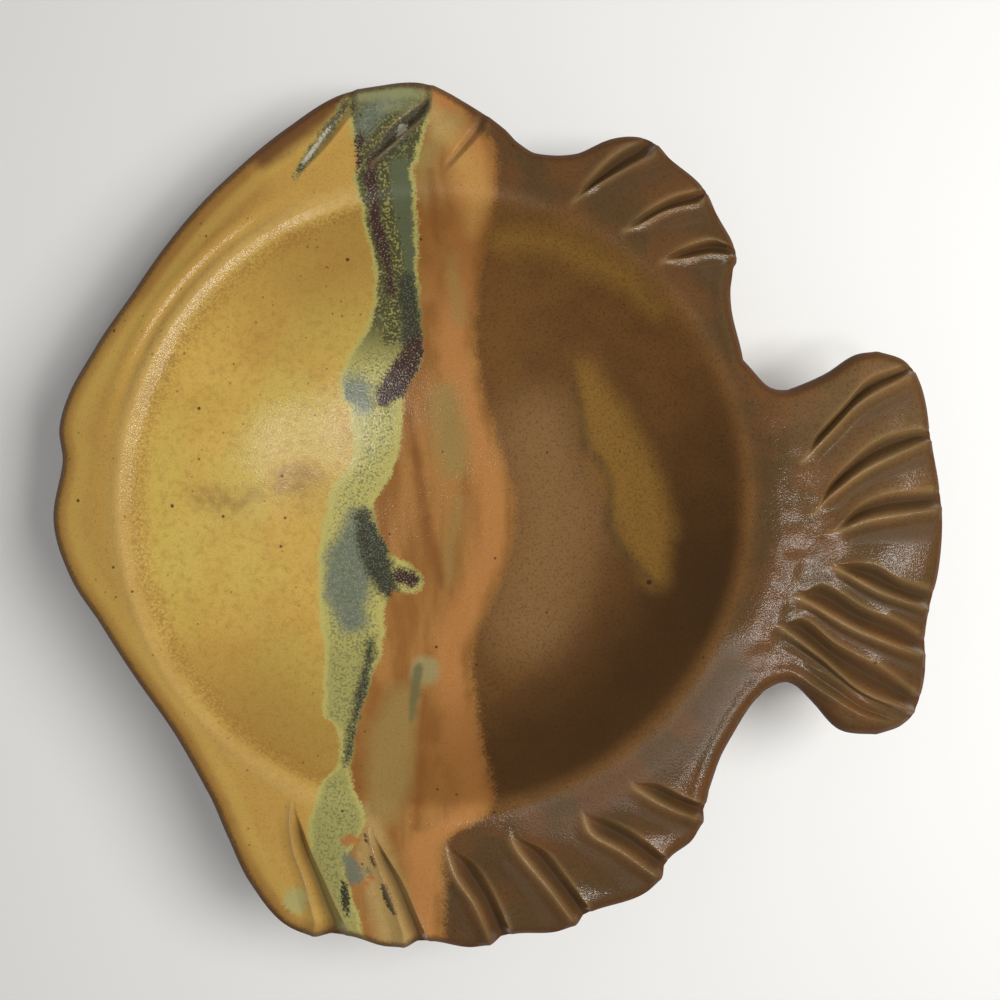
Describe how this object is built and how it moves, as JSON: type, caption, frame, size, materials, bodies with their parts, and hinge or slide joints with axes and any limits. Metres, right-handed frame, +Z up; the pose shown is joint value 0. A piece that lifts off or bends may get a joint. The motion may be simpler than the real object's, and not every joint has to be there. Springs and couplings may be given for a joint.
{
  "type": "fish-shaped plate",
  "caption": "Deep stoneware plate with a round well and a wide rim shaped as a fish, with fluted fins and tail, a foot ring and poured glazes; for serving and display.",
  "frame": {"origin": "on the table, under the middle of the dish's bounding box", "axes": "+Z up, +X towards the tail, +Y towards the back fins"},
  "size_m": [0.2814, 0.2774, 0.0496],
  "materials": {
    "clay": "bare stoneware, matte",
    "ochre_glaze": "satin",
    "run_glaze": "satin",
    "overlap_glaze": "satin",
    "brown_glaze": "satin",
    "underside_glaze": "satin"
  },
  "bodies": {
    "root": {"bowl_well": "clay", "foot_ring": "clay", "head_rim": "clay", "front_dorsal_fin": "clay", "rear_dorsal_fin": "clay", "tail_fin": "clay", "ventral_fin": "clay", "glaze_ochre": "ochre_glaze", "glaze_run": "run_glaze", "glaze_overlap": "overlap_glaze", "glaze_brown": "brown_glaze", "glaze_underside": "underside_glaze"}
  },
  "joints": []
}
